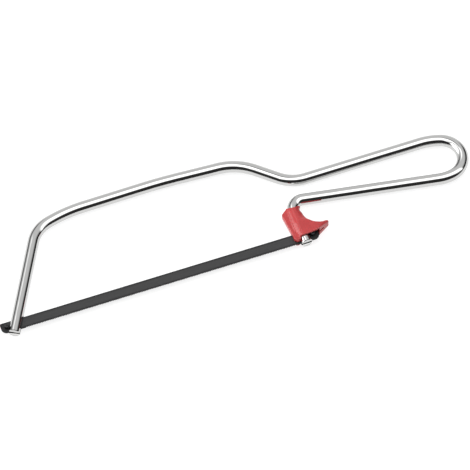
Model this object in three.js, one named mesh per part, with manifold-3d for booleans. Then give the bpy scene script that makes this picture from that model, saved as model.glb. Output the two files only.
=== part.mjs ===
// A junior hacksaw: a bow and looped handle bent from one steel rod, a thin pin-end blade
// stretched across its two slotted ends, and a moulded finger guard pushed onto the rear arm.
//
// Millimetres. +X runs along the blade from its front end to the handle, +Y points from the
// teeth up to the bow, and +Z is square to the plane of the saw, which lies on its side.
// The shapes are drawn about the middle of the blade's front crossing and are set down on
// Z = 0, centred, at the end of the file.

import * as THREE from 'three';
import { mergeVertices } from 'three/addons/utils/BufferGeometryUtils.js';
import Module from 'manifold-3d';

// ---- driving dimensions ---------------------------------------------------------------

const degree = Math.PI / 180;

// Steel rod
const rodRadius = 2.75;
const rodSides = 16;
const bendStep = 11 * degree;
const frontLean = 60.6 * degree;
const frontReach = 45.8;
const frontOverhang = 4.4;
const rearOverhang = 3.5;
const rearBendRadius = 5.6;
const rearBendTurn = 101.4;
const rearStraight = 17.43;

// The bends in order from the front end: a straight length, then the turn and its radius.
const bends = [
  { straight: frontOverhang + frontReach, turn: -45.3, radius: 16.6 },
  { straight: 0, turn: -14.8, radius: 71 },
  { straight: 29.4, turn: -3.9, radius: 238 },
  { straight: 20.4, turn: -38.3, radius: 26.4 },
  { straight: 11.6, turn: 41.8, radius: 17.5 },
  { straight: 56.4, turn: -19.3, radius: 30 },
  { straight: 0, turn: -150.5, radius: 10.2 },
  { straight: 0, turn: -20, radius: 18.5 },
  { straight: 64.28, turn: rearBendTurn, radius: rearBendRadius },
  { straight: rearStraight },
];

// Saw cuts in the two rod ends, which the blade passes through
const slotWidth = 1.4;
const frontSlotDepth = 5.2;
const rearSlotDepth = 3.2;

// Blade
const bladeThickness = 0.65;
const bladeHeight = 5.6;
const frontTailLength = 2.7;
const rearTailLength = 3;
const tailToeRadius = 2.6;
const tailHeelRadius = 0.7;
const toothPitch = 25.4 / 32;
const toothDepth = 0.42;
const toothFaceShare = 0.12;
const toothedMargin = 4;

// Cross pins pressed through the two ends of the blade
const pinRadius = 1;
const pinLength = 4.4;
const pinSides = 16;
const pinToRod = 0.14;
const pinHoleGap = 0.14;

// Finger guard, drawn about the point where the rear arm's axis crosses the blade
const guardRadius = 3.8;
const guardFoot = -0.5;
const guardShoulder = 9.5;
const guardTop = 16.2;
const guardTopRadius = 3.3;
const collarTurn = 26;
const collarRadius = 3.25;
const guardSides = 32;
const restHeight = 11.6;
const boreGap = 0.15;
const boreRunOut = 4;
const webThickness = 2.9;
const guardSlotWidth = 1.25;
const guardTravel = 0.8;
const guardSlotTop = bladeHeight / 2 + guardTravel + 0.3;
const pocketHalfWidth = 2.9;
const pocketEnd = 7.6;
const slitEnd = 10.2;
const slitTop = 2.4;
const cutReach = 10;
const pocketStart = 1.5;

// ---- materials ------------------------------------------------------------------------

const chromedSteel = new THREE.MeshStandardMaterial({ color: 0xd4d6da, roughness: 0.12, metalness: 1 });
const blackSteel = new THREE.MeshStandardMaterial({ color: 0x3c3c40, roughness: 0.5, metalness: 0.6 });
const pinSteel = new THREE.MeshStandardMaterial({ color: 0x2a2a2d, roughness: 0.45, metalness: 0.8 });
const redPlastic = new THREE.MeshStandardMaterial({ color: 0xc92c3c, roughness: 0.35, metalness: 0 });

// ---- joining and cutting --------------------------------------------------------------

const wasm = await Module();
wasm.setup();

function solidOf(geometry) {
  const bare = geometry.clone();
  bare.deleteAttribute('normal');
  bare.deleteAttribute('uv');
  const merged = mergeVertices(bare);
  return new wasm.Manifold(new wasm.Mesh({
    numProp: 3,
    vertProperties: new Float32Array(merged.attributes.position.array),
    triVerts: new Uint32Array(merged.index.array),
  }));
}

function geometryOf(solid) {
  const mesh = solid.getMesh();
  const geometry = new THREE.BufferGeometry();
  geometry.setAttribute('position', new THREE.BufferAttribute(mesh.vertProperties, 3));
  geometry.setIndex(new THREE.BufferAttribute(mesh.triVerts, 1));
  geometry.computeVertexNormals();
  return geometry;
}

function boxBetween(low, high) {
  const size = new THREE.Vector3().subVectors(high, low);
  const centre = new THREE.Vector3().addVectors(low, high).multiplyScalar(0.5);
  return new THREE.BoxGeometry(size.x, size.y, size.z).translate(centre.x, centre.y, centre.z);
}

// ---- bent rod -------------------------------------------------------------------------

// A flat curve through stations, each a point and a heading. Stations stand only where the
// rod bends, so a straight stretch is one long step.
class BentRod extends THREE.Curve {
  constructor(start, heading, table) {
    super();
    this.stations = [{ x: start.x, y: start.y, heading }];
    for (const bend of table) this.follow(bend);
  }

  follow({ straight, turn = 0, radius = 0 }) {
    let { x, y, heading } = this.stations.at(-1);
    if (straight > 0) {
      x += straight * Math.cos(heading);
      y += straight * Math.sin(heading);
      this.stations.push({ x, y, heading });
    }
    const steps = Math.ceil(Math.abs(turn) * degree / bendStep);
    const stepAngle = steps > 0 ? turn * degree / steps : 0;
    const chord = 2 * radius * Math.sin(Math.abs(stepAngle) / 2);
    for (let step = 0; step < steps; step += 1) {
      x += chord * Math.cos(heading + stepAngle / 2);
      y += chord * Math.sin(heading + stepAngle / 2);
      heading += stepAngle;
      this.stations.push({ x, y, heading });
    }
  }

  between(t) {
    const place = t * (this.stations.length - 1);
    const index = Math.min(Math.floor(place), this.stations.length - 2);
    return [this.stations[index], this.stations[index + 1], place - index];
  }

  getUtoTmapping(u) {
    return u;
  }

  getPoint(t) {
    const [a, b, blend] = this.between(t);
    const { lerp } = THREE.MathUtils;
    return new THREE.Vector3(lerp(a.x, b.x, blend), lerp(a.y, b.y, blend), 0);
  }

  getTangent(t) {
    const [a, b, blend] = this.between(t);
    const heading = THREE.MathUtils.lerp(a.heading, b.heading, blend);
    return new THREE.Vector3(Math.cos(heading), Math.sin(heading), 0);
  }

  swept(radius) {
    const section = new THREE.Shape();
    for (let side = 0; side < rodSides; side += 1) {
      const angle = (side + 0.5) * 2 * Math.PI / rodSides;
      const point = [radius * Math.cos(angle), radius * Math.sin(angle)];
      if (side === 0) section.moveTo(...point);
      else section.lineTo(...point);
    }
    const steps = this.stations.length - 1;
    return new THREE.ExtrudeGeometry(section, { steps, extrudePath: this, bevelEnabled: false });
  }
}

// The front arm crosses the middle of the blade at the drawing's origin.
const frontEnd = new THREE.Vector2(
  -frontOverhang * Math.cos(frontLean),
  -frontOverhang * Math.sin(frontLean),
);
const rod = new BentRod(frontEnd, frontLean, bends);
const rearEnd = rod.stations.at(-1);
const rearUp = Math.atan2(-Math.sin(rearEnd.heading), -Math.cos(rearEnd.heading));
const armToBlade = -rearEnd.y / Math.sin(rearUp);
const rearCrossing = new THREE.Vector2(rearEnd.x + armToBlade * Math.cos(rearUp), 0);
const rearTilt = rearUp - Math.PI / 2;

// A slot is cut along the arm from beyond its end, in the middle plane of the saw.
function slotCutter(crossing, up, depth, overhang) {
  const low = new THREE.Vector3(-overhang - rodRadius, -2 * rodRadius, -slotWidth / 2);
  const high = new THREE.Vector3(depth, 2 * rodRadius, slotWidth / 2);
  return boxBetween(low, high).rotateZ(up).translate(crossing.x, crossing.y, 0);
}

function bowFrame() {
  const frontSlot = slotCutter(new THREE.Vector2(0, 0), frontLean, frontSlotDepth, frontOverhang);
  const rearSlot = slotCutter(rearCrossing, rearUp, rearSlotDepth, rearOverhang);
  const cut = solidOf(rod.swept(rodRadius)).subtract(solidOf(frontSlot)).subtract(solidOf(rearSlot));
  return new THREE.Mesh(geometryOf(cut), chromedSteel);
}

// ---- blade and pins -------------------------------------------------------------------

const pinOffset = rodRadius + pinRadius + pinToRod;
const frontPin = new THREE.Vector3(-pinOffset / Math.sin(frontLean), 0, 0);
const rearPin = new THREE.Vector3(rearCrossing.x + pinOffset / Math.cos(rearTilt), 0, 0);
const half = bladeHeight / 2;

// The blade's outline runs round from the lower front corner: the teeth with their steep
// cutting faces to the front, then the rear tail, the straight back and the front tail.
function bladeOutline() {
  const front = frontPin.x - frontTailLength;
  const rear = rearPin.x + rearTailLength;
  const firstTooth = toothedMargin;
  const teeth = Math.floor((rearCrossing.x - 2 * toothedMargin) / toothPitch);
  const outline = new THREE.Shape();
  outline.moveTo(front + tailToeRadius, -half);
  outline.lineTo(firstTooth, -half);
  for (let tooth = 0; tooth < teeth; tooth += 1) {
    const tip = firstTooth + tooth * toothPitch;
    outline.lineTo(tip + (1 - toothFaceShare) * toothPitch, -half + toothDepth);
    outline.lineTo(tip + toothPitch, -half);
  }
  outline.lineTo(rear - tailToeRadius, -half);
  outline.absarc(rear - tailToeRadius, -half + tailToeRadius, tailToeRadius, -Math.PI / 2, 0);
  outline.lineTo(rear, half - tailHeelRadius);
  outline.absarc(rear - tailHeelRadius, half - tailHeelRadius, tailHeelRadius, 0, Math.PI / 2);
  outline.lineTo(front + tailHeelRadius, half);
  outline.absarc(front + tailHeelRadius, half - tailHeelRadius, tailHeelRadius, Math.PI / 2, Math.PI);
  outline.lineTo(front, -half + tailToeRadius);
  outline.absarc(front + tailToeRadius, -half + tailToeRadius, tailToeRadius, Math.PI, 1.5 * Math.PI);
  return outline;
}

function pinHole(centre) {
  const hole = new THREE.Path();
  for (let side = 0; side < pinSides; side += 1) {
    const angle = side * 2 * Math.PI / pinSides;
    const x = centre.x + (pinRadius + pinHoleGap) * Math.sin(angle);
    const y = centre.y + (pinRadius + pinHoleGap) * Math.cos(angle);
    if (side === 0) hole.moveTo(x, y);
    else hole.lineTo(x, y);
  }
  hole.closePath();
  return hole;
}

function blade() {
  const outline = bladeOutline();
  outline.holes.push(pinHole(frontPin), pinHole(rearPin));
  const geometry = new THREE.ExtrudeGeometry(outline, {
    depth: bladeThickness,
    bevelEnabled: false,
    curveSegments: 6,
  });
  geometry.translate(0, 0, -bladeThickness / 2);
  return new THREE.Mesh(geometry, blackSteel);
}

function bladePin(centre) {
  const geometry = new THREE.CylinderGeometry(pinRadius, pinRadius, pinLength, pinSides);
  const pin = new THREE.Mesh(geometry, pinSteel);
  pin.rotation.x = Math.PI / 2;
  pin.position.copy(centre);
  return pin;
}

// ---- finger guard ---------------------------------------------------------------------

// The guard's own axes: +Y up the rear arm, +X to the handle side.
function plate(outline, thickness) {
  const geometry = new THREE.ExtrudeGeometry(outline, {
    depth: thickness,
    bevelEnabled: false,
    curveSegments: 8,
  });
  return geometry.translate(0, 0, -thickness / 2);
}

// Round sleeve about the arm, tapering to a thin rim at the top
function guardSleeve() {
  const profile = [
    new THREE.Vector2(0, guardFoot),
    new THREE.Vector2(guardRadius, guardFoot),
    new THREE.Vector2(guardRadius, guardShoulder),
    new THREE.Vector2(guardTopRadius, guardTop),
    new THREE.Vector2(0, guardTop),
  ];
  return new THREE.LatheGeometry(profile, guardSides);
}

// Collar that follows the arm into its bend
function guardCollar() {
  const start = new THREE.Vector2(0, guardShoulder);
  const straight = rearStraight - rearOverhang - guardShoulder;
  const table = [
    { straight, turn: -collarTurn, radius: rearBendRadius },
  ];
  return new BentRod(start, Math.PI / 2, table).swept(collarRadius);
}

// Hooked rest for the finger behind the arm: a hollow curve above, a straight back below
function fingerRest() {
  const outline = new THREE.Shape();
  outline.moveTo(0, guardFoot);
  outline.lineTo(4, -0.35);
  outline.quadraticCurveTo(6.8, -0.3, 8.2, 0.75);
  outline.lineTo(12.2, 2.45);
  outline.quadraticCurveTo(13.7, 3, 13, 3.6);
  outline.quadraticCurveTo(12.3, 4.1, 11.3, 3.9);
  outline.quadraticCurveTo(8.8, 3.3, 6.6, 4.7);
  outline.quadraticCurveTo(3.5, 6.9, guardTopRadius, restHeight);
  outline.lineTo(0, restHeight);
  return outline;
}

// Thin web in front of the arm, which the blade runs into
function frontWeb() {
  const outline = new THREE.Shape();
  outline.moveTo(0, guardFoot);
  outline.lineTo(-1.6, guardFoot);
  outline.quadraticCurveTo(-2.6, -1.9, -3.6, -1.9);
  outline.quadraticCurveTo(-5.3, -1.8, -5.4, 0.4);
  outline.lineTo(-5.2, 3.3);
  outline.lineTo(-5.8, 13.7);
  outline.quadraticCurveTo(-5.8, 14.4, -5.3, 14.8);
  outline.lineTo(-3.3, guardTop);
  outline.lineTo(0, guardTop);
  return outline;
}

// What the rod needs at rest, and again as far up as the guard can slide down
function guardBore() {
  const start = new THREE.Vector2(0, -2 * rearOverhang);
  const table = [
    { straight: rearOverhang + rearStraight, turn: -rearBendTurn, radius: rearBendRadius },
    { straight: boreRunOut },
  ];
  const bore = new BentRod(start, Math.PI / 2, table).swept(rodRadius + boreGap);
  const lifted = bore.clone().translate(0, guardTravel, 0);
  return solidOf(bore).add(solidOf(lifted));
}

// The blade's slot, the slit behind it, and the pocket that clears the cross pin
function guardHollows() {
  const ranges = [
    [-cutReach, pocketEnd, guardSlotTop, guardSlotWidth / 2],
    [0, slitEnd, slitTop, guardSlotWidth / 2],
    [pocketStart, pocketEnd, guardSlotTop, pocketHalfWidth],
  ];
  const boxes = ranges.map(([from, to, top, side]) => solidOf(boxBetween(
    new THREE.Vector3(from, -cutReach, -side),
    new THREE.Vector3(to, top, side),
  )));
  return boxes.reduce((whole, box) => whole.add(box));
}

function fingerGuard() {
  const body = solidOf(guardSleeve())
    .add(solidOf(guardCollar()))
    .add(solidOf(plate(fingerRest(), 2 * guardRadius)))
    .add(solidOf(plate(frontWeb(), webThickness)));
  const cut = body.subtract(guardBore()).subtract(guardHollows());
  const guard = new THREE.Mesh(geometryOf(cut), redPlastic);
  guard.position.set(rearCrossing.x, rearCrossing.y, 0);
  guard.rotation.z = rearTilt;
  return guard;
}

// ---- the saw --------------------------------------------------------------------------

const pieces = {
  bow_frame: bowFrame(),
  blade: blade(),
  front_blade_pin: bladePin(frontPin),
  rear_blade_pin: bladePin(rearPin),
  finger_guard: fingerGuard(),
};

const drawing = new THREE.Group();
for (const [name, mesh] of Object.entries(pieces)) {
  mesh.name = name;
  drawing.add(mesh);
}

// Origin: under the middle of the whole saw, on the surface that it lies on
const extent = new THREE.Box3().setFromObject(drawing, true);
const middle = extent.getCenter(new THREE.Vector3());
drawing.position.set(-middle.x, -middle.y, -extent.min.z);

const saw = new THREE.Group();
saw.add(drawing);
saw.updateMatrixWorld(true);

export default saw;
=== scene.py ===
# %% [markdown]
# # A junior hacksaw
#
# The saw is one springy steel rod, bent into a bow and a looped handle and plated bright. A
# thin black blade is stretched between its two slotted ends, and a red plastic finger guard
# sits on the rear arm. The saw lies on its side on a pale table. This notebook rebuilds each
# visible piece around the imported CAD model, from formulas worked out with numpy.

# %% Load the frame
import math

import bpy
import numpy as np
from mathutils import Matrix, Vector


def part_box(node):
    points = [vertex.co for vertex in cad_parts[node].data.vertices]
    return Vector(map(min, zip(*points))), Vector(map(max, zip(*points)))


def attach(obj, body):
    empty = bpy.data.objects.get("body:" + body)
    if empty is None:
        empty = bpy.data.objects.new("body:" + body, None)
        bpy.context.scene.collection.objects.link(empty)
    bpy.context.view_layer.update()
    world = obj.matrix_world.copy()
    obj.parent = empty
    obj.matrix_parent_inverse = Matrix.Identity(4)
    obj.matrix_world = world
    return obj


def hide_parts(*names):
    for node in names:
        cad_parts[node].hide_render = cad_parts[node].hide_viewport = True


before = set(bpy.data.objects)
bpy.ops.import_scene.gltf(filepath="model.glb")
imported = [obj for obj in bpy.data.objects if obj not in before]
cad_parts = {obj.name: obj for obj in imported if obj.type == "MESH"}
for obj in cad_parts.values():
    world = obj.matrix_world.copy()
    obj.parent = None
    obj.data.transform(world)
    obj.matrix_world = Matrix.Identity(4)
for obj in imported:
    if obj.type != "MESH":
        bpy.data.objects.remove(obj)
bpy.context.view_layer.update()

# %% [markdown]
# ## Where the drawing sits
#
# Every shape below is drawn in millimetres about one point: where the front arm crosses the
# middle of the blade. +X runs along the blade to the handle, +Y from the teeth up to the bow,
# and +Z is up from the table. The two cross pins stand on the blade's centre line, so their
# boxes in the CAD model say where that drawing lies. This is safer than typing an offset,
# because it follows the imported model.

# %% Find the drawing's origin from the two pins
MM = 0.001
DEGREE = math.pi / 180

rod_radius = 2.75
pin_radius = 1.0
pin_to_rod = 0.14
front_lean = 60.6 * DEGREE


def box_middle(node):
    """Half way between a node's lowest and highest corners."""
    low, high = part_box(node)
    return np.array((Vector(low) + Vector(high)) / 2)


pin_offset = rod_radius + pin_radius + pin_to_rod
front_pin_x = -pin_offset / math.sin(front_lean)
front_pin_at = box_middle("front_blade_pin")
rear_pin_at = box_middle("rear_blade_pin")
rear_pin_x = front_pin_x + (rear_pin_at - front_pin_at)[0] / MM
drawing_origin = front_pin_at - np.array((front_pin_x * MM, 0, 0))
print("drawing origin, metres:", drawing_origin.round(6), "rear pin at", round(rear_pin_x, 3), "mm")

# %% [markdown]
# ## Camera
#
# The saw is seen from above and in front, turned a little to the left. The lens is long and
# stands well back, so parallel edges stay nearly parallel. The camera aims at the middle of
# the saw and isn't rolled.

# %% Make the camera
azimuth = -19.7 * DEGREE
elevation = 58.2 * DEGREE
aim = Vector((0.00106, -0.01206, 0.0038))
stand_back = 8.0
view_width = 0.2179
sensor_width = 36.0

backwards = Vector((
    math.sin(azimuth) * math.cos(elevation),
    -math.cos(azimuth) * math.cos(elevation),
    math.sin(elevation),
))
camera_data = bpy.data.cameras.new("studio_camera")
camera_data.sensor_width = sensor_width
camera_data.lens = sensor_width * stand_back / view_width
camera_data.clip_end = 100
camera = bpy.data.objects.new("studio_camera", camera_data)
camera.location = aim + backwards * stand_back
camera.rotation_mode = "QUATERNION"
camera.rotation_quaternion = (-backwards).to_track_quat("-Z", "Y")
bpy.context.scene.collection.objects.link(camera)
bpy.context.scene.camera = camera
print("lens", round(camera_data.lens, 1), "mm at", stand_back, "m")

# %% [markdown]
# ## Node helper
#
# A material is a tree of nodes. Building one by hand means making a node, setting the sockets
# that don't vary, and wiring the ones that do. One short helper does all three: an input
# that is a socket gets wired, and any other value is set on the node's own socket.

# %% A helper for shader trees


def add_node(tree, kind, inputs=None, **settings):
    """Make a node, apply its settings, then wire or set each of its inputs."""
    node = tree.nodes.new(kind)
    for name, value in settings.items():
        setattr(node, name, value)
    for name, value in (inputs or {}).items():
        socket = node.inputs[name]
        if isinstance(value, bpy.types.NodeSocket):
            tree.links.new(value, socket)
        else:
            socket.default_value = value
    return node


def calculate(tree, operation, *values):
    """One arithmetic step on numbers or sockets."""
    inputs = dict(enumerate(values))
    return add_node(tree, "ShaderNodeMath", inputs, operation=operation).outputs[0]


def ease(tree, value, low, high, start=0.0, end=1.0):
    """A value that goes smoothly from start to end while the input goes from low to high."""
    inputs = {0: value, 1: low, 2: high, 3: start, 4: end}
    settings = {"interpolation_type": "SMOOTHSTEP", "clamp": True}
    return add_node(tree, "ShaderNodeMapRange", inputs, **settings).outputs[0]


# %% [markdown]
# ## Table
#
# Bright metal shows what stands round it, so the table is part of the finish. It is a plain
# white sheet lit softly from below as well as from above, as a light table is, which keeps
# the shadows faint. It sits at the height that the saw rests on.

# %% Make the table
table_reach = 30.0
table_glow = 0.80
table_white = 0.32

table_corners = table_reach * np.array([(-1, -1, 0), (1, -1, 0), (1, 1, 0), (-1, 1, 0)])
table_mesh = bpy.data.meshes.new("table")
table_mesh.from_pydata(table_corners.tolist(), [], [(0, 1, 2, 3)])
table = bpy.data.objects.new("table", table_mesh)
bpy.context.scene.collection.objects.link(table)

table_finish = bpy.data.materials.new("pale_table")
table_finish.use_nodes = True
table_shader = table_finish.node_tree.nodes["Principled BSDF"]
table_shader.inputs["Base Color"].default_value = (table_white, table_white, table_white, 1)
table_shader.inputs["Roughness"].default_value = 0.8
table_shader.inputs["Specular IOR Level"].default_value = 0.0
table_shader.inputs["Emission Color"].default_value = (1, 1, 1, 1)
table_shader.inputs["Emission Strength"].default_value = table_glow
table_mesh.materials.append(table_finish)
print("table", 2 * table_reach, "m across")

# %% [markdown]
# ## Light
#
# A studio lights plated steel with broad soft lamps, pale walls, and a dark side for
# contrast: the dark side is what draws the black line along each bar. The same could be done
# with lamps and cards, but cards would stand in the way of other views. So the room is one
# sky whose brightness depends on direction. East, north and height are the three parts of
# the direction, and each lamp or dark stretch is a mask, cut out by a few straight lines or
# drawn as an oval.

# %% Make the room
bpy.context.scene.view_settings.view_transform = "Standard"

wall_light = 0.85
overhead_light = 2.4
dark_light = 0.035
right_light = 0.03
low_left_light = 0.14
left_lamp_light = 4.0
gap_light = 0.30

room = bpy.data.worlds.new("studio_room")
room.use_nodes = True
room_tree = room.node_tree
room_tree.nodes.clear()
toward = add_node(room_tree, "ShaderNodeTexCoord").outputs["Generated"]
split = add_node(room_tree, "ShaderNodeSeparateXYZ", {"Vector": toward})
east, north, height = split.outputs["X"], split.outputs["Y"], split.outputs["Z"]
flat = add_node(room_tree, "ShaderNodeCombineXYZ", {"X": east, "Y": north})
flat = add_node(room_tree, "ShaderNodeVectorMath", {0: flat.outputs[0]}, operation="NORMALIZE")
east_share = add_node(room_tree, "ShaderNodeSeparateXYZ", {"Vector": flat.outputs[0]}).outputs["X"]


def slanted(east_weight, north_weight, shift=0.0):
    """A straight line across the sky: weights times east and north, plus a shift."""
    north_part = calculate(room_tree, "MULTIPLY_ADD", north, north_weight, shift)
    return calculate(room_tree, "MULTIPLY_ADD", east, east_weight, north_part)


def all_of(*masks):
    """Where every mask holds: their product."""
    product = masks[0]
    for mask in masks[1:]:
        product = calculate(room_tree, "MULTIPLY", product, mask)
    return product


# The dark side: black in front and low down on the right, paler low at the back left
front_dark = ease(room_tree, slanted(-0.2, -1.0), 0.33, 0.56)
right_dark = all_of(
    ease(room_tree, height, 0.38, 0.78, 1.0, 0.0),
    ease(room_tree, east_share, 0.62, 0.86),
)
left_dark = all_of(
    ease(room_tree, height, 0.20, 0.72, 1.0, 0.0),
    ease(room_tree, east_share, 0.10, -0.22),
    ease(room_tree, east_share, -0.80, -0.45),
    ease(room_tree, north, 0.0, 0.3),
)


def round_patch(middle, reach, inner, outer):
    """1 inside an oval of the sky and 0 outside: the sum of squares of offset / reach."""
    across = calculate(room_tree, "DIVIDE", slanted(1.0, 0.0, -middle[0]), reach[0])
    along = calculate(room_tree, "DIVIDE", slanted(0.0, 1.0, -middle[1]), reach[1])
    spread = calculate(room_tree, "MULTIPLY", across, across)
    spread = calculate(room_tree, "MULTIPLY_ADD", along, along, spread)
    return ease(room_tree, spread, inner, outer, 1.0, 0.0)


# The dim gap in the overhead lamp, towards the back
gap = round_patch((0.0, 0.34), (0.16, 0.14), 0.30, 1.60)

# A broad lamp overhead, and a smaller, brighter one on the left
overhead_lamp = all_of(
    ease(room_tree, slanted(1.0, -0.3), -0.48, -0.34),
    ease(room_tree, slanted(0.72, 0.69), 0.30, 0.44, 1.0, 0.0),
    ease(room_tree, slanted(0.05, 1.0), -0.50, -0.30),
    ease(room_tree, height, 0.2, 0.45),
)
left_lamp = round_patch((-0.80, 0.20), (0.22, 0.44), 0.35, 1.35)

glow = wall_light
for mask, level in (
    (front_dark, dark_light),
    (right_dark, right_light),
    (left_dark, low_left_light),
    (left_lamp, left_lamp_light),
    (overhead_lamp, overhead_light),
    (gap, gap_light),
):
    glow = add_node(room_tree, "ShaderNodeMix", {0: mask, 2: glow, 3: level}).outputs[0]

# What the camera itself sees past the table's edge is a plain pale wall.
seen = add_node(room_tree, "ShaderNodeLightPath").outputs["Is Camera Ray"]
glow = add_node(room_tree, "ShaderNodeMix", {0: seen, 2: glow, 3: 1.0}).outputs[0]
room_light = add_node(room_tree, "ShaderNodeBackground", {"Strength": glow})
room_light.inputs["Color"].default_value = (1.0, 1.0, 1.0, 1.0)
add_node(room_tree, "ShaderNodeOutputWorld", {"Surface": room_light.outputs[0]})
bpy.context.scene.world = room
print("room made")

# %% [markdown]
# ## From arrays to a mesh
#
# Each piece is worked out as one array of points in drawing millimetres and one list of
# faces. This helper moves the points to their place in metres, closes the seams by merging
# points that coincide, and marks the true corners sharp, so the rest shades smoothly.

# %% A helper that makes a piece
import bmesh

corner_angle = 35 * DEGREE


def make_piece(name, points, faces, uv=None):
    """Points in drawing millimetres become metres: origin + 0.001 * point."""
    mesh = bpy.data.meshes.new(name)
    mesh.from_pydata((drawing_origin + MM * points).tolist(), [], faces)
    if uv is not None:
        layer = mesh.uv_layers.new(name="along_and_around")
        corners = np.empty(len(mesh.loops), dtype=np.int32)
        mesh.loops.foreach_get("vertex_index", corners)
        layer.data.foreach_set("uv", uv[corners].astype(np.float32).ravel())
    work = bmesh.new()
    work.from_mesh(mesh)
    bmesh.ops.remove_doubles(work, verts=work.verts, dist=0.002 * MM)
    bmesh.ops.recalc_face_normals(work, faces=work.faces)
    work.to_mesh(mesh)
    work.free()
    mesh.shade_smooth()
    mesh.set_sharp_from_angle(angle=corner_angle)
    piece = bpy.data.objects.new(name, mesh)
    bpy.context.scene.collection.objects.link(piece)
    print(name, len(mesh.polygons), "faces")
    return piece


def quads_of_grid(numbers):
    """Faces of a grid of point numbers whose rows close on themselves."""
    nearer, farther = numbers[:-1], numbers[1:]
    sides = [nearer, np.roll(nearer, -1, axis=1), np.roll(farther, -1, axis=1), farther]
    return np.stack(sides, axis=-1).reshape(-1, 4).tolist()


# %% [markdown]
# ## The rod
#
# A wire bender makes the bow from one straight rod: feed a length, bend through an angle round
# a former, and repeat. The table below is that list of feeds and bends, from the front end to
# the rear end. A curve with a bevel could follow it, but its bends would only be near circles.
# Here the middle line is exact: on a straight the heading stays, and on a bend each point is
# the bend's centre plus its radius at an evenly stepped angle.

# %% The middle line of the rod
front_overhang = 4.4
rear_overhang = 3.5
front_slot_depth = 5.2
rear_slot_depth = 3.2
rear_straight = 17.43
rear_bend_radius = 5.6
bend_step = 1.5 * DEGREE

front_cut = front_overhang + front_slot_depth
rear_cut = rear_overhang + rear_slot_depth

# A straight length, then the turn in degrees and its radius
bends = [
    (front_overhang + 45.8 - front_cut, -45.3, 16.6),
    (0, -14.8, 71),
    (29.4, -3.9, 238),
    (20.4, -38.3, 26.4),
    (11.6, 41.8, 17.5),
    (56.4, -19.3, 30),
    (0, -150.5, 10.2),
    (0, -20, 18.5),
    (64.28, 101.4, rear_bend_radius),
    (rear_straight - rear_cut, 0, 0),
]


def follow_bends(x, y, heading, table):
    """Rows of x, y and heading. On a bend: centre + radius * (sin, -cos) of the heading."""
    rows = [np.array([[x, y, heading]])]
    for straight, turn, radius in table:
        if straight:
            x += straight * math.cos(heading)
            y += straight * math.sin(heading)
            rows.append(np.array([[x, y, heading]]))
        if turn:
            side = math.copysign(radius, turn)
            steps = math.ceil(abs(turn) * DEGREE / bend_step)
            angles = heading + turn * DEGREE * np.arange(1, steps + 1) / steps
            centre = np.array([x - side * math.sin(heading), y + side * math.cos(heading)])
            arc = centre + side * np.stack([np.sin(angles), -np.cos(angles)], axis=1)
            rows.append(np.column_stack([arc, angles]))
            x, y, heading = rows[-1][-1]
    return np.vstack(rows)


start_x = (front_cut - front_overhang) * math.cos(front_lean)
start_y = (front_cut - front_overhang) * math.sin(front_lean)
middle_line = follow_bends(start_x, start_y, front_lean, bends)
print(len(middle_line), "stations, end at", middle_line[-1].round(2))

# %% [markdown]
# The section is a circle carried along the middle line: point + radius * (cos of the angle
# times the sideways direction + sin of the angle times up). The saw cuts at the two ends
# leave two prongs with a D-shaped section, so the circle's points are spaced to land exactly
# on the cut's two faces. Where the cut ends, a flat floor closes the gap.

# %% Sweep the section and cut the ends
slot_width = 1.4
tip_chamfer = 0.2
slot_chamfer = 0.1
prong_steps = 26
gap_steps = 4


def slot_angle(radius, half_slot):
    """The angle at which the circle meets the cut's face: arcsine of half width over radius."""
    return math.asin(half_slot / radius)


def prong_arc(radius, half_slot):
    """Angles of the upper prong's round side."""
    corner = slot_angle(radius, half_slot)
    return np.linspace(corner, math.pi - corner, prong_steps + 1)


def around(stations, radius, angles):
    """Circle points at each station, as an array of stations by angles by 3."""
    x, y, heading = (column[:, None] for column in stations.T)
    sideways = radius * np.cos(angles)[None, :]
    return np.stack([
        x - sideways * np.sin(heading),
        y + sideways * np.cos(heading),
        np.broadcast_to(radius * np.sin(angles), (len(stations), len(angles))),
    ], axis=-1)


corner = slot_angle(rod_radius, slot_width / 2)
gap_arc = np.linspace(-corner, corner, gap_steps + 1)
upper_arc = prong_arc(rod_radius, slot_width / 2)
full_circle = np.concatenate([
    gap_arc[:-1], upper_arc[:-1], math.pi + gap_arc[:-1], math.pi + upper_arc[:-1],
])


def station_lengths(stations):
    """Distance along the rod, from the sum of the steps between stations."""
    steps = np.hypot(*np.diff(stations[:, :2], axis=0).T)
    return np.concatenate([[0], np.cumsum(steps)])


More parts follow.
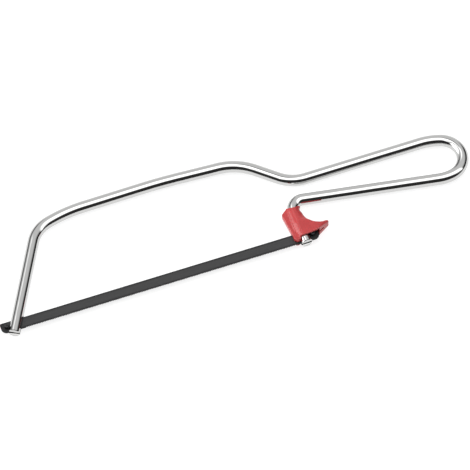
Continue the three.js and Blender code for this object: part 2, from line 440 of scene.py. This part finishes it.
def bent_rod(stations):
    """The whole rod as points, faces and a map of (length, angle) in metres and turns."""
    shaft = around(stations, rod_radius, full_circle)
    along = station_lengths(stations)
    points = [shaft.reshape(-1, 3)]
    turns = np.broadcast_to(full_circle / (2 * math.pi), shaft.shape[:2])
    lengths = np.broadcast_to(along[:, None] * MM, shaft.shape[:2])
    maps = [np.stack([lengths, turns], axis=-1).reshape(-1, 2)]
    grid = np.arange(shaft.shape[0] * shaft.shape[1]).reshape(shaft.shape[:2])
    faces = quads_of_grid(grid)
    count = grid.size
    for end, way, length in ((0, -1, front_cut), (-1, 1, rear_cut)):
        x, y, heading = stations[end]
        floor_ring = grid[end]
        near = floor_ring[:gap_steps + 1]
        far_start = gap_steps + prong_steps
        far = floor_ring[far_start:far_start + gap_steps + 1]
        faces.append(np.concatenate([near, far]).tolist())
        for half in (0, math.pi):
            reach = [0, length - tip_chamfer, length]
            radii = [rod_radius, rod_radius, rod_radius - tip_chamfer]
            gaps = [slot_width / 2, slot_width / 2, slot_width / 2 + slot_chamfer]
            loops = []
            for distance, radius, gap in zip(reach, radii, gaps):
                place = np.array([[
                    x + way * distance * math.cos(heading),
                    y + way * distance * math.sin(heading),
                    heading,
                ]])
                loops.append(around(place, radius, half + prong_arc(radius, gap))[0])
            loops = np.array(loops)
            numbers = count + np.arange(loops.shape[0] * loops.shape[1]).reshape(loops.shape[:2])
            points.append(loops.reshape(-1, 3))
            spread = np.broadcast_to((half + upper_arc) / (2 * math.pi), loops.shape[:2])
            reached = along[end] + way * np.array(reach)
            reached = np.broadcast_to(reached[:, None] * MM, loops.shape[:2])
            maps.append(np.stack([reached, spread], axis=-1).reshape(-1, 2))
            faces += quads_of_grid(numbers)
            faces.append(numbers[-1].tolist())
            count += numbers.size
    return np.vstack(points), faces, np.vstack(maps)


rod_points, rod_faces, rod_map = bent_rod(middle_line)
rod = make_piece("bent_rod", rod_points, rod_faces, rod_map)

# %% [markdown]
# ## The blade
#
# The blade is a strip of hard steel 0.65 mm thick. Its lower edge has fine teeth, each with a
# steep face to the front, and the toothed edge is pressed into a slight wave so that it cuts
# wider than itself. The strip is a grid: columns stand along the blade at every tooth's tip,
# slope and gullet, and each column's section goes up one side and down the other.

# %% Columns and edges of the blade
blade_thickness = 0.65
blade_height = 5.6
front_tail = 2.7
rear_tail = 3.0
toe_radius = 2.6
heel_radius = 0.7
tooth_pitch = 25.4 / 32
tooth_depth = 0.42
toothed_margin = 4
tail_steps = 14

half_height = blade_height / 2
blade_front = front_pin_x - front_tail
blade_rear = rear_pin_x + rear_tail
rear_tilt = 1.7 * DEGREE
rear_crossing_x = rear_pin_x - pin_offset / math.cos(rear_tilt)
tooth_count = int((rear_crossing_x - 2 * toothed_margin) / tooth_pitch)
teeth_end = toothed_margin + tooth_count * tooth_pitch
print(tooth_count, "teeth")

# A tooth's lower edge: from a tip, up the long slope to the gullet, and down the steep face
tooth_places = np.array([0, 0.45, 0.72, 0.86, 0.93])
tooth_rises = np.array([0, 0.55, 0.92, 1.0, 0.8]) * tooth_depth


def corner_columns(radius):
    """Distances from a rounded end that are even steps round its arc: r - r cos(angle)."""
    return radius * (1 - np.cos(np.linspace(0, math.pi / 2, tail_steps)))


def rounded_inset(distance, radius):
    """How far a rounded corner cuts in: r - square root of (r² - (r - distance)²)."""
    short = np.clip(radius - distance, 0, radius)
    return radius - np.sqrt(radius ** 2 - short ** 2)


plain_columns = 8
tail_gap = 0.8
tooth_gap = 0.4
tips = toothed_margin + tooth_pitch * np.arange(tooth_count)
tooth_columns = (tips[:, None] + tooth_places * tooth_pitch).ravel()
tail_columns = np.union1d(corner_columns(toe_radius), corner_columns(heel_radius))
columns = np.concatenate([
    blade_front + tail_columns,
    np.linspace(blade_front + toe_radius + tail_gap, toothed_margin - tooth_gap, plain_columns),
    tooth_columns,
    np.linspace(teeth_end, blade_rear - toe_radius - tail_gap, plain_columns),
    (blade_rear - tail_columns)[::-1],
])
from_end = np.minimum(columns - blade_front, blade_rear - columns)
rises = np.zeros(len(columns))
first_tip = np.searchsorted(columns, toothed_margin)
rises[first_tip:first_tip + tooth_columns.size] = np.tile(tooth_rises, tooth_count)
lower_edge = -half_height + rounded_inset(from_end, toe_radius) + rises
upper_edge = half_height - rounded_inset(from_end, heel_radius)

# %% The blade's section and wave
edge_shares = np.array([0, 0.012, 0.06, 0.12, 0.2, 0.35, 0.5, 0.65, 0.8, 0.92, 0.985, 1])
edge_widths = np.array([0.7, 1, 1, 1, 1, 1, 1, 1, 1, 1, 1, 0.6])
wave_length = 8 * tooth_pitch
wave_height = 0.09
wave_reach = 1.3
wave_fade = 3


def wavy_set(x, y):
    """Sideways push: wave height * sine along the blade, fading out above the teeth."""
    depth = np.clip((y + half_height) / wave_reach, 0, 1)
    starting = np.clip((x - toothed_margin) / wave_fade, 0, 1)
    ending = np.clip((teeth_end - x) / wave_fade, 0, 1)
    wave = wave_height * np.sin(2 * math.pi * x / wave_length)
    return wave * (1 - depth) ** 2 * (starting * ending)


def saw_blade():
    """Each column: up the near side and down the far side, at half thickness * edge width."""
    shares = np.concatenate([edge_shares, edge_shares[::-1]])
    widths = np.concatenate([edge_widths, -edge_widths[::-1]]) * blade_thickness / 2
    y = lower_edge[:, None] + (upper_edge - lower_edge)[:, None] * shares[None, :]
    x = np.broadcast_to(columns[:, None], y.shape)
    z = widths[None, :] + wavy_set(x, y)
    grid = np.arange(y.size).reshape(y.shape)
    faces = quads_of_grid(grid) + [grid[0].tolist(), grid[-1].tolist()]
    return np.stack([x, y, z], axis=-1).reshape(-1, 3), faces


blade = make_piece("saw_blade", *saw_blade())

# %% [markdown]
# ## The two cross pins
#
# A short hard pin is pressed through each end of the blade and catches behind the rod's two
# prongs. It is turned: its outline goes round its own axis, with the ends slightly domed and
# their rims broken.

# %% Turn the pins
pin_sides = 32


def turned(outline, middle):
    """Outline rows are (radius, height); point = middle + radius * (cos, sin), height."""
    angles = np.linspace(0, 2 * math.pi, pin_sides, endpoint=False)
    radius, height = np.array(outline).T
    rings = np.stack([
        middle[0] + radius[:, None] * np.cos(angles),
        middle[1] + radius[:, None] * np.sin(angles),
        np.broadcast_to(middle[2] + height[:, None], (len(radius), pin_sides)),
    ], axis=-1)
    grid = np.arange(rings.shape[0] * pin_sides).reshape(-1, pin_sides)
    return rings.reshape(-1, 3), quads_of_grid(grid) + [grid[0].tolist(), grid[-1].tolist()]


half_outline = [(0.3, 2.2), (0.62, 2.17), (0.8, 2.1), (0.92, 1.99), (0.98, 1.85), (1.0, 1.7)]
pin_outline = [(r, -h) for r, h in half_outline] + half_outline[::-1]
front_pin = make_piece("front_pin", *turned(pin_outline, (front_pin_x, 0, 0)))
rear_pin = make_piece("rear_pin", *turned(pin_outline, (rear_pin_x, 0, 0)))

# %% [markdown]
# ## The finger guard
#
# The guard is one plastic moulding: a sleeve round the rear arm, a thin web in front of it, and
# a hooked rest for the finger behind it, all running into each other with soft fillets. Such
# blends are hard to draw as a grid of two parameters. Instead the solid is a distance field: a
# formula gives, for any point, how far outside (+) or inside (-) the plastic it is. Two fields
# are joined by taking the smaller one, and a cut takes the larger of one and minus the other.
# The fields are worked out in the guard's own axes: +Y up the arm, +X to the handle.

# %% Distance formulas
guard_foot = -0.45


def outline_distance(x, y, outline):
    """Distance to the nearest edge of a closed outline, less than zero inside it."""
    outline = np.asarray(outline, dtype=float)
    nearest = np.full(x.shape, np.inf)
    inside = np.zeros(x.shape, dtype=bool)
    for (ax, ay), (bx, by) in zip(outline, np.roll(outline, -1, axis=0)):
        ex, ey = bx - ax, by - ay
        share = np.clip(((x - ax) * ex + (y - ay) * ey) / (ex * ex + ey * ey), 0, 1)
        nearest = np.minimum(nearest, (x - ax - share * ex) ** 2 + (y - ay - share * ey) ** 2)
        if ey:
            crossing = (ay > y) != (by > y)
            inside ^= crossing & (x < ax + ex * (y - ay) / ey)
    return np.where(inside, -1, 1) * np.sqrt(nearest)


def arc_through(start, pull, end, steps=8):
    """A curve from start to end drawn towards pull: (1-t)² start + 2t(1-t) pull + t² end."""
    t = np.linspace(0, 1, steps + 1)[:, None]
    start, pull, end = map(np.array, (start, pull, end))
    return ((1 - t) ** 2 * start + 2 * t * (1 - t) * pull + t ** 2 * end).tolist()


def rounded_plate(flat_distance, z, half_thickness, rounding):
    """An outline given thickness, with its edges rounded over."""
    side = flat_distance + rounding
    face = np.abs(z) - half_thickness + rounding
    outside = np.hypot(np.maximum(side, 0), np.maximum(face, 0))
    return outside + np.minimum(np.maximum(side, face), 0) - rounding


def blend(first, second, fillet):
    """The smaller of two fields, with a fillet where they meet."""
    share = np.maximum(fillet - np.abs(first - second), 0) / fillet
    return np.minimum(first, second) - share ** 2 * fillet / 4


def soft_cut(first, second, fillet):
    """The larger of two fields, with the corner eased."""
    return -blend(-first, -second, fillet)


def block_distance(x, y, z, low, high):
    """Distance to a box between two corners."""
    gaps = [np.maximum(a - h, l - a) for a, l, h in zip((x, y, z), low, high)]
    return np.maximum(np.maximum(gaps[0], gaps[1]), gaps[2])


# %% Outlines of the finger rest and the web
rest_outline = (
    [(0, -0.45), (4, -0.35)]
    + arc_through((4, -0.35), (6.8, -0.3), (8.2, 0.75))[1:]
    + [(12.2, 2.45)]
    + arc_through((12.2, 2.45), (13.7, 3), (13, 3.6))[1:]
    + arc_through((13, 3.6), (12.3, 4.1), (11.3, 3.9))[1:]
    + arc_through((11.3, 3.9), (8.8, 3.3), (6.6, 4.7))[1:]
    + arc_through((6.6, 4.7), (4.0, 6.6), (2.7, 12.0), 12)[1:]
    + [(0, 12.0)]
)
web_outline = (
    [(0, -0.45)]
    + arc_through((-1.6, -0.45), (-2.6, -1.85), (-3.6, -1.85))
    + arc_through((-3.6, -1.85), (-5.3, -1.75), (-5.35, 0.4))[1:]
    + [(-5.1, 3.3), (-5.8, 13.5)]
    + arc_through((-5.8, 13.5), (-5.85, 14.4), (-5.2, 14.9))[1:]
    + [(-1.6, 17.4), (0, 17.4)]
)

# %% The whole guard as one field
sleeve_radius = 3.75
rim_radius = 3.15
sleeve_shoulder = 7.0
rim_middle = 15.6
rim_lift = 1.2
rim_slant = 0.6
web_half = 1.45
bend_start = rear_straight - rear_overhang
bore_radius = rod_radius + 0.12
side_limit = 3.78

# The rim curves, so a height above it is more than the distance to it.
rim_scale = 0.75

# The rest is thickest beside the sleeve, and thins towards its hooked tip and its top.
rest_half = 3.7
hook_start = 7.5
hook_reach = 5
hook_thinning = 0.85
top_start = 5.5
top_reach = 5.5
top_thinning = 2.6
rest_rounding = 0.6
hook_rounding = 0.7

# The web thickens towards its foot.
foot_height = 4.5
foot_thickening = 1.15
web_rounding = 0.45

# Fillets where two shapes join, and the easing of the corners where one is cut away
rest_fillet = 2.2
web_fillet = 0.5
rim_easing = 0.5
foot_easing = 0.4
side_easing = 0.3
mouth_easing = 0.2

# Three hollows, each from its lowest to its highest corner: the slot that takes the blade,
# the slit for the blade's tail, and the pocket that clears the cross pin
hollows = (
    ((-10, -10, -0.625), (7.6, 3.9, 0.625)),
    ((0, -10, -0.5), (10.2, 2.4, 0.5)),
    ((1.5, -10, -2.9), (7.6, 3.9, 2.9)),
)


def arm_distance(x, y, z):
    """Distance to the rear arm's axis: a straight line, then a bend towards the handle."""
    straight = np.hypot(x, z)
    from_centre = np.hypot(x - rear_bend_radius, y - bend_start)
    bent = np.hypot(from_centre - rear_bend_radius, z)
    return np.where((y < bend_start) | (x > rear_bend_radius), straight, bent)


def smooth(value, start, reach):
    """A value's share of the way, eased at both ends: 3 share² - 2 share³."""
    share = np.clip((value - start) / reach, 0, 1)
    return share ** 2 * (3 - 2 * share)


def guard_field(x, y, z):
    """Sleeve, web and finger rest joined with fillets, less the bore, slot and pocket."""
    axis = arm_distance(x, y, z)
    taper = np.clip((y - sleeve_shoulder) / (rim_middle - sleeve_shoulder), 0, 1)
    wall = sleeve_radius + (rim_radius - sleeve_radius) * taper
    across = np.clip(x / rim_radius, -1, 1)
    rim = rim_middle + rim_lift * across ** 2 - rim_slant * across
    above_rim = (y - rim) * rim_scale
    below_foot = guard_foot - y
    sleeve = soft_cut(axis - wall, np.maximum(above_rim, below_foot), rim_easing)

    half = rest_half - hook_thinning * smooth(x, hook_start, hook_reach)
    half = half - top_thinning * smooth(y, top_start, top_reach)
    rounding = rest_rounding + hook_rounding * np.clip((x - hook_start) / hook_reach, 0, 1)
    rest = rounded_plate(outline_distance(x, y, rest_outline), z, half, rounding)

    web_side = web_half + foot_thickening * smooth(-y, -foot_height, foot_height)
    web = rounded_plate(outline_distance(x, y, web_outline), z, web_side, web_rounding)
    web = np.maximum(web, above_rim)

    body = soft_cut(blend(sleeve, rest, rest_fillet), below_foot, foot_easing)
    body = blend(body, web, web_fillet)
    body = soft_cut(body, np.abs(z) - side_limit, side_easing)
    body = soft_cut(body, bore_radius - axis, mouth_easing)
    for low, high in hollows:
        body = soft_cut(body, -block_distance(x, y, z, low, high), mouth_easing)
    return body


# %% [markdown]
# To turn the field into a surface, space is cut into small cubes. Wherever a cube has corners
# both inside and outside, it gets one point, at the average of where its edges cross zero.
# Four cubes round each crossing edge give one face. The points are then slid along the
# field's slope until they lie on the surface, which takes out the steps. This is the surface
# nets method, done on whole arrays.

# %% Surface from a field
cell = 0.17


def net_points(values, low):
    """One point per mixed cube: the mean of the zero crossings on its twelve edges."""
    shape = tuple(n - 1 for n in values.shape)
    total = np.zeros(shape + (3,))
    hits = np.zeros(shape)
    for axis in range(3):
        first = np.moveaxis(values, axis, 0)[:-1]
        second = np.moveaxis(values, axis, 0)[1:]
        crossed = (first < 0) != (second < 0)
        share = np.where(crossed, first / np.where(crossed, first - second, 1), 0)
        crossed = np.moveaxis(crossed, 0, axis)
        share = np.moveaxis(share, 0, axis)
        others = [a for a in range(3) if a != axis]
        for step in np.ndindex(2, 2):
            part = [slice(None)] * 3
            shift = np.zeros(3)
            for other, offset in zip(others, step):
                part[other] = slice(offset, offset + shape[other])
                shift[other] = offset
            here = crossed[tuple(part)]
            place = np.broadcast_to(shift, shape + (3,)).copy()
            place[..., axis] = share[tuple(part)]
            total += np.where(here[..., None], place, 0)
            hits += here
    mixed = hits > 0
    corner = np.argwhere(mixed)
    points = low + cell * (corner + total[mixed] / hits[mixed][:, None])
    numbers = np.full(shape, -1)
    numbers[mixed] = np.arange(len(points))
    return points, numbers


def net_faces(values, numbers):
    """Each crossing edge joins the four cubes round it, turned so that it faces outwards."""
    faces = []
    for axis in range(3):
        turned_values = np.moveaxis(values, axis, 0)
        inside = turned_values < 0
        crossed = inside[:-1] != inside[1:]
        leaving = inside[:-1]
        u, v = [a for a in range(3) if a != axis]
        where = np.argwhere(crossed[:, 1:-1, 1:-1]) + (0, 1, 1)
        outward = leaving[tuple(where.T)]
        cubes = np.zeros((len(where), 4, 3), dtype=int)
        cubes[:, :, axis] = where[:, :1]
        cubes[:, :, u] = where[:, 1:2] + np.array([-1, 0, 0, -1])
        cubes[:, :, v] = where[:, 2:3] + np.array([-1, -1, 0, 0])
        quad = numbers[tuple(np.moveaxis(cubes, -1, 0))]
        flip = outward if axis != 1 else ~outward
        faces.append(np.where(flip[:, None], quad, quad[:, ::-1]))
    return np.vstack(faces)


def slide_to_surface(field, points, rounds=3):
    """Each point moves by minus the field times its slope, which ends on the surface."""
    nudge = 0.01
    least_steepness = 0.25
    longest_move = 0.3 * cell
    for _ in range(rounds):
        x, y, z = points.T
        value = field(x, y, z)
        slope = np.stack([
            field(x + nudge, y, z) - field(x - nudge, y, z),
            field(x, y + nudge, z) - field(x, y - nudge, z),
            field(x, y, z + nudge) - field(x, y, z - nudge),
        ], axis=1) / (2 * nudge)
        steepness = np.maximum((slope ** 2).sum(axis=1, keepdims=True), least_steepness)
        move = np.clip(value[:, None] * slope / steepness, -longest_move, longest_move)
        points = points - move
    return points


# %% Mesh the guard
field_low = np.array((-7.4, -4.4, -4.3))
field_high = np.array((14.6, 17.6, 4.3))
lines = [np.arange(a, b, cell) for a, b in zip(field_low, field_high)]
field_values = guard_field(*np.meshgrid(*lines, indexing="ij"))
guard_points, cube_numbers = net_points(field_values, field_low)
guard_faces = net_faces(field_values, cube_numbers)
guard_points = slide_to_surface(guard_field, guard_points)

lean, upright = math.sin(rear_tilt), math.cos(rear_tilt)
own_x, own_y, own_z = guard_points.T
guard_points = np.stack([
    rear_crossing_x + own_x * upright - own_y * lean,
    own_x * lean + own_y * upright,
    own_z,
], axis=1)
guard = make_piece("finger_rest", guard_points, guard_faces.tolist())

# %% [markdown]
# ## Bright plate
#
# The rod is nickel and chromium over steel: a mirror that takes its look from the room. The
# plating on drawn wire is never perfect. It has a slow waviness, and very fine lines along
# the rod left by drawing and polishing. The rod's own map runs along and around it, so the
# lines follow every bend.

# %% Make the bright plate
chrome_tint = (0.58, 0.58, 0.575, 1.0)


def new_finish(name):
    """A material with an empty Principled shader and its tree."""
    finish = bpy.data.materials.new(name)
    finish.use_nodes = True
    return finish, finish.node_tree, finish.node_tree.nodes["Principled BSDF"]


chrome, chrome_tree, chrome_shader = new_finish("bright_plate")
chrome_shader.inputs["Base Color"].default_value = chrome_tint
chrome_shader.inputs["Metallic"].default_value = 1.0
rod_uv = add_node(chrome_tree, "ShaderNodeUVMap", uv_map="along_and_around").outputs[0]
stretch = add_node(chrome_tree, "ShaderNodeMapping", {"Vector": rod_uv, "Scale": (60, 90, 1)})
drawn_lines = add_node(chrome_tree, "ShaderNodeTexNoise", {
    "Vector": stretch.outputs[0], "Scale": 1.0, "Detail": 3.0,
})
chrome_place = add_node(chrome_tree, "ShaderNodeTexCoord").outputs["Object"]
smudges = add_node(chrome_tree, "ShaderNodeTexNoise", {
    "Vector": chrome_place, "Scale": 260.0, "Detail": 4.0,
})
shine = calculate(chrome_tree, "MULTIPLY", drawn_lines.outputs[0], smudges.outputs[0])
chrome_roughness = ease(chrome_tree, shine, 0.12, 0.42, 0.02, 0.07)
chrome_tree.links.new(chrome_roughness, chrome_shader.inputs["Roughness"])
waviness = add_node(chrome_tree, "ShaderNodeTexNoise", {
    "Vector": chrome_place, "Scale": 90.0, "Detail": 1.0,
})
wave_bump = add_node(chrome_tree, "ShaderNodeBump", {
    "Height": waviness.outputs[0], "Strength": 1.0, "Distance": 0.00012,
})
line_bump = add_node(chrome_tree, "ShaderNodeBump", {
    "Height": drawn_lines.outputs[0], "Strength": 0.35, "Distance": 0.000004,
    "Normal": wave_bump.outputs[0],
})
chrome_tree.links.new(line_bump.outputs[0], chrome_shader.inputs["Normal"])
rod.data.materials.append(chrome)

# %% [markdown]
# ## Black blade steel
#
# The blade is hardened and blacked. Its faces were ground lengthways before blacking, so they
# carry fine streaks along the blade. The toothed edge and the back get painted shade, darker
# where the set and the rolled edge turn away from the light, and the two tails past the pins
# get painted shadow.

# %% Make the blade steel
blacked, blacked_tree, blacked_shader = new_finish("blacked_steel")
blacked_place = add_node(blacked_tree, "ShaderNodeTexCoord").outputs["Object"]
blade_middle = float(front_pin_at[0] + rear_pin_at[0]) / 2
streak_map = add_node(blacked_tree, "ShaderNodeMapping", {
    "Vector": blacked_place, "Scale": (60, 2600, 2600),
})
streaks = add_node(blacked_tree, "ShaderNodeTexNoise", {
    "Vector": streak_map.outputs[0], "Scale": 1.0, "Detail": 4.0,
})
centred = add_node(blacked_tree, "ShaderNodeMapping", {
    "Vector": blacked_place, "Location": (-blade_middle, -float(drawing_origin[1]), 0),
})
centred_split = add_node(blacked_tree, "ShaderNodeSeparateXYZ", {"Vector": centred.outputs[0]})
off_centre = calculate(blacked_tree, "ABSOLUTE", centred_split.outputs["Y"])
# Painted shade: the blade's colour is made darker towards its toothed edge and its back.
edge_shade_share = ease(blacked_tree, off_centre, 0.0012, 0.0027)
off_middle = calculate(blacked_tree, "ABSOLUTE", centred_split.outputs["X"])
# Painted shadow: the two tails past the pins are made darker.
tail_shadow_share = ease(blacked_tree, off_middle, 0.0725, 0.0750)
painted_shade_share = calculate(blacked_tree, "MAXIMUM", edge_shade_share, tail_shadow_share)
streak_share = calculate(blacked_tree, "MULTIPLY_ADD", streaks.outputs[0], 0.5, -0.25)
shade_and_streak_share = calculate(blacked_tree, "ADD", painted_shade_share, streak_share)
blade_tone = add_node(blacked_tree, "ShaderNodeMix", {
    0: shade_and_streak_share, 6: (0.040, 0.040, 0.041, 1.0), 7: (0.012, 0.012, 0.013, 1.0),
}, data_type="RGBA")
blacked_tree.links.new(blade_tone.outputs[2], blacked_shader.inputs["Base Color"])
blacked_shader.inputs["Metallic"].default_value = 0.35
blade_roughness = ease(blacked_tree, streaks.outputs[0], 0.3, 0.7, 0.42, 0.6)
blacked_tree.links.new(blade_roughness, blacked_shader.inputs["Roughness"])
streak_bump = add_node(blacked_tree, "ShaderNodeBump", {
    "Height": streaks.outputs[0], "Strength": 0.4, "Distance": 0.00002,
})
blacked_tree.links.new(streak_bump.outputs[0], blacked_shader.inputs["Normal"])
blade.data.materials.append(blacked)

# %% [markdown]
# ## Pin steel
#
# The pins are the same dark colour, but smoother, with a fine random grain in their tone and
# roughness.

# %% Make the pin steel
pin_steel, pin_tree, pin_shader = new_finish("dark_pin_steel")
pin_place = add_node(pin_tree, "ShaderNodeTexCoord").outputs["Object"]
pin_grain = add_node(pin_tree, "ShaderNodeTexNoise", {
    "Vector": pin_place, "Scale": 4000.0, "Detail": 3.0,
})
pin_tone = add_node(pin_tree, "ShaderNodeMix", {
    0: pin_grain.outputs[0], 6: (0.012, 0.012, 0.013, 1.0), 7: (0.05, 0.05, 0.053, 1.0),
}, data_type="RGBA")
pin_tree.links.new(pin_tone.outputs[2], pin_shader.inputs["Base Color"])
pin_shader.inputs["Metallic"].default_value = 0.8
pin_roughness = ease(pin_tree, pin_grain.outputs[0], 0.3, 0.7, 0.28, 0.45)
pin_tree.links.new(pin_roughness, pin_shader.inputs["Roughness"])
front_pin.data.materials.append(pin_steel)
rear_pin.data.materials.append(pin_steel)

# %% [markdown]
# ## Red plastic
#
# The guard is moulded in a red plastic with a satin gloss. Moulded skin has a faint, soft
# unevenness, and the colour is slightly deeper where flow has drawn the pigment out.

# %% Make the red plastic
red, red_tree, red_shader = new_finish("red_moulding")
red_place = add_node(red_tree, "ShaderNodeTexCoord").outputs["Object"]
flow = add_node(red_tree, "ShaderNodeTexNoise", {
    "Vector": red_place, "Scale": 220.0, "Detail": 2.0,
})
red_tone = add_node(red_tree, "ShaderNodeMix", {
    0: flow.outputs[0], 6: (0.43, 0.034, 0.036, 1.0), 7: (0.50, 0.048, 0.050, 1.0),
}, data_type="RGBA")
red_tree.links.new(red_tone.outputs[2], red_shader.inputs["Base Color"])
red_shader.inputs["IOR"].default_value = 1.49
red_shader.inputs["Subsurface Weight"].default_value = 0.06
red_shader.inputs["Subsurface Radius"].default_value = (0.0003, 0.0001, 0.0001)
red_shader.inputs["Subsurface Scale"].default_value = 1.0
skin = add_node(red_tree, "ShaderNodeTexNoise", {
    "Vector": red_place, "Scale": 2400.0, "Detail": 3.0,
})
red_roughness = ease(red_tree, skin.outputs[0], 0.3, 0.7, 0.16, 0.24)
red_tree.links.new(red_roughness, red_shader.inputs["Roughness"])
skin_bump = add_node(red_tree, "ShaderNodeBump", {
    "Height": skin.outputs[0], "Strength": 0.3, "Distance": 0.000008,
})
red_tree.links.new(skin_bump.outputs[0], red_shader.inputs["Normal"])
guard.data.materials.append(red)

# %% [markdown]
# ## What moves with what
#
# Each piece rides on the CAD body that it belongs to and stands in for its plain CAD solid.
# The blade and both pins swing together, and the guard slides on the rear arm.

# %% Bodies, stand-ins and finishes
for piece, body, node, slot in (
    (rod, "frame", "bow_frame", "chromed_steel"),
    (blade, "blade", "blade", "blade_steel"),
    (front_pin, "blade", "front_blade_pin", "pin_steel"),
    (rear_pin, "blade", "rear_blade_pin", "pin_steel"),
    (guard, "guard", "finger_guard", "red_plastic"),
):
    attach(piece, body)
    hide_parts(node)
    print(piece.name, "rides on", body)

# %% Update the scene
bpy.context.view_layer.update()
